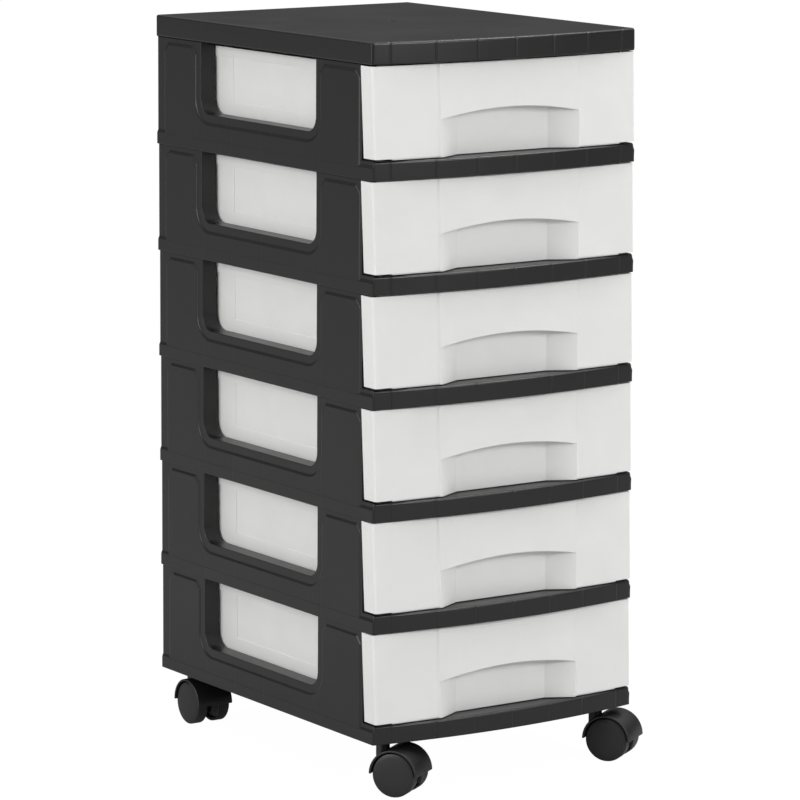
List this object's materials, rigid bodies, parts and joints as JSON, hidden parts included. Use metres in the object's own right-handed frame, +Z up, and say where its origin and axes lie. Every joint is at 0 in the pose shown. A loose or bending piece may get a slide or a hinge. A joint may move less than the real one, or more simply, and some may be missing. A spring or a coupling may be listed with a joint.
{
  "type": "plastic drawer tower",
  "caption": "Tall narrow storage tower of stacked black plastic frames with clear slide-out drawers, each with an arched finger grip, rolling on hooded twin-wheel casters.",
  "frame": {"origin": "centre of the bounding box at floor level, under the casters, as parked", "axes": "+Z up, -Y out of the drawers' fronts, +X to the right of someone facing the drawers"},
  "size_m": [0.2944, 0.3906, 0.669],
  "materials": {
    "frame_plastic": "satin black polypropylene",
    "drawer_plastic": "translucent natural polypropylene",
    "hood_plastic": "black nylon",
    "wheel_plastic": "black nylon",
    "stem_steel": "zinc-plated steel"
  },
  "bodies": {
    "tower": {"tier_frame_1": "frame_plastic", "tier_frame_2": "frame_plastic", "tier_frame_3": "frame_plastic", "tier_frame_4": "frame_plastic", "tier_frame_5": "frame_plastic", "tier_frame_6": "frame_plastic", "top_plate": "frame_plastic", "caster_front_left_stem": "stem_steel", "caster_front_right_stem": "stem_steel", "caster_rear_left_stem": "stem_steel", "caster_rear_right_stem": "stem_steel"},
    "drawer_1": {"drawer_1": "drawer_plastic"},
    "drawer_2": {"drawer_2": "drawer_plastic"},
    "drawer_3": {"drawer_3": "drawer_plastic"},
    "drawer_4": {"drawer_4": "drawer_plastic"},
    "drawer_5": {"drawer_5": "drawer_plastic"},
    "drawer_6": {"drawer_6": "drawer_plastic"},
    "caster_front_left_swivel": {"caster_front_left_hood": "hood_plastic"},
    "caster_front_left_wheel_left": {"caster_front_left_wheel_left": "wheel_plastic"},
    "caster_front_left_wheel_right": {"caster_front_left_wheel_right": "wheel_plastic"},
    "caster_front_right_swivel": {"caster_front_right_hood": "hood_plastic"},
    "caster_front_right_wheel_left": {"caster_front_right_wheel_left": "wheel_plastic"},
    "caster_front_right_wheel_right": {"caster_front_right_wheel_right": "wheel_plastic"},
    "caster_rear_left_swivel": {"caster_rear_left_hood": "hood_plastic"},
    "caster_rear_left_wheel_left": {"caster_rear_left_wheel_left": "wheel_plastic"},
    "caster_rear_left_wheel_right": {"caster_rear_left_wheel_right": "wheel_plastic"},
    "caster_rear_right_swivel": {"caster_rear_right_hood": "hood_plastic"},
    "caster_rear_right_wheel_left": {"caster_rear_right_wheel_left": "wheel_plastic"},
    "caster_rear_right_wheel_right": {"caster_rear_right_wheel_right": "wheel_plastic"}
  },
  "joints": [
    {"name": "drawer_1_slide", "type": "slide", "parent": "tower", "child": "drawer_1", "axis": [0, -1, 0], "range_m": [0, 0.24]},
    {"name": "drawer_2_slide", "type": "slide", "parent": "tower", "child": "drawer_2", "axis": [0, -1, 0], "range_m": [0, 0.24]},
    {"name": "drawer_3_slide", "type": "slide", "parent": "tower", "child": "drawer_3", "axis": [0, -1, 0], "range_m": [0, 0.24]},
    {"name": "drawer_4_slide", "type": "slide", "parent": "tower", "child": "drawer_4", "axis": [0, -1, 0], "range_m": [0, 0.24]},
    {"name": "drawer_5_slide", "type": "slide", "parent": "tower", "child": "drawer_5", "axis": [0, -1, 0], "range_m": [0, 0.24]},
    {"name": "drawer_6_slide", "type": "slide", "parent": "tower", "child": "drawer_6", "axis": [0, -1, 0], "range_m": [0, 0.24]},
    {"name": "caster_front_left_swivel_turn", "type": "hinge", "parent": "tower", "child": "caster_front_left_swivel", "pos_m": [-0.12315, -0.15169, 0.04], "axis": [0, 0, 1], "continuous": true},
    {"name": "caster_front_left_wheel_left_roll", "type": "hinge", "parent": "caster_front_left_swivel", "child": "caster_front_left_wheel_left", "pos_m": [-0.11389, -0.16595, 0.02], "axis": [0.8387, 0.5446, 0], "continuous": true},
    {"name": "caster_front_left_wheel_right_roll", "type": "hinge", "parent": "caster_front_left_swivel", "child": "caster_front_left_wheel_right", "pos_m": [-0.11389, -0.16595, 0.02], "axis": [0.8387, 0.5446, 0], "continuous": true},
    {"name": "caster_front_right_swivel_turn", "type": "hinge", "parent": "tower", "child": "caster_front_right_swivel", "pos_m": [0.10985, -0.15169, 0.04], "axis": [0, 0, 1], "continuous": true},
    {"name": "caster_front_right_wheel_left_roll", "type": "hinge", "parent": "caster_front_right_swivel", "child": "caster_front_right_wheel_left", "pos_m": [0.11911, -0.16595, 0.02], "axis": [0.8387, 0.5446, 0], "continuous": true},
    {"name": "caster_front_right_wheel_right_roll", "type": "hinge", "parent": "caster_front_right_swivel", "child": "caster_front_right_wheel_right", "pos_m": [0.11911, -0.16595, 0.02], "axis": [0.8387, 0.5446, 0], "continuous": true},
    {"name": "caster_rear_left_swivel_turn", "type": "hinge", "parent": "tower", "child": "caster_rear_left_swivel", "pos_m": [-0.12315, 0.17631, 0.04], "axis": [0, 0, 1], "continuous": true},
    {"name": "caster_rear_left_wheel_left_roll", "type": "hinge", "parent": "caster_rear_left_swivel", "child": "caster_rear_left_wheel_left", "pos_m": [-0.12315, 0.15931, 0.02], "axis": [1, 0, 0], "continuous": true},
    {"name": "caster_rear_left_wheel_right_roll", "type": "hinge", "parent": "caster_rear_left_swivel", "child": "caster_rear_left_wheel_right", "pos_m": [-0.12315, 0.15931, 0.02], "axis": [1, 0, 0], "continuous": true},
    {"name": "caster_rear_right_swivel_turn", "type": "hinge", "parent": "tower", "child": "caster_rear_right_swivel", "pos_m": [0.10985, 0.17631, 0.04], "axis": [0, 0, 1], "continuous": true},
    {"name": "caster_rear_right_wheel_left_roll", "type": "hinge", "parent": "caster_rear_right_swivel", "child": "caster_rear_right_wheel_left", "pos_m": [0.10985, 0.15931, 0.02], "axis": [1, 0, 0], "continuous": true},
    {"name": "caster_rear_right_wheel_right_roll", "type": "hinge", "parent": "caster_rear_right_swivel", "child": "caster_rear_right_wheel_right", "pos_m": [0.10985, 0.15931, 0.02], "axis": [1, 0, 0], "continuous": true}
  ]
}
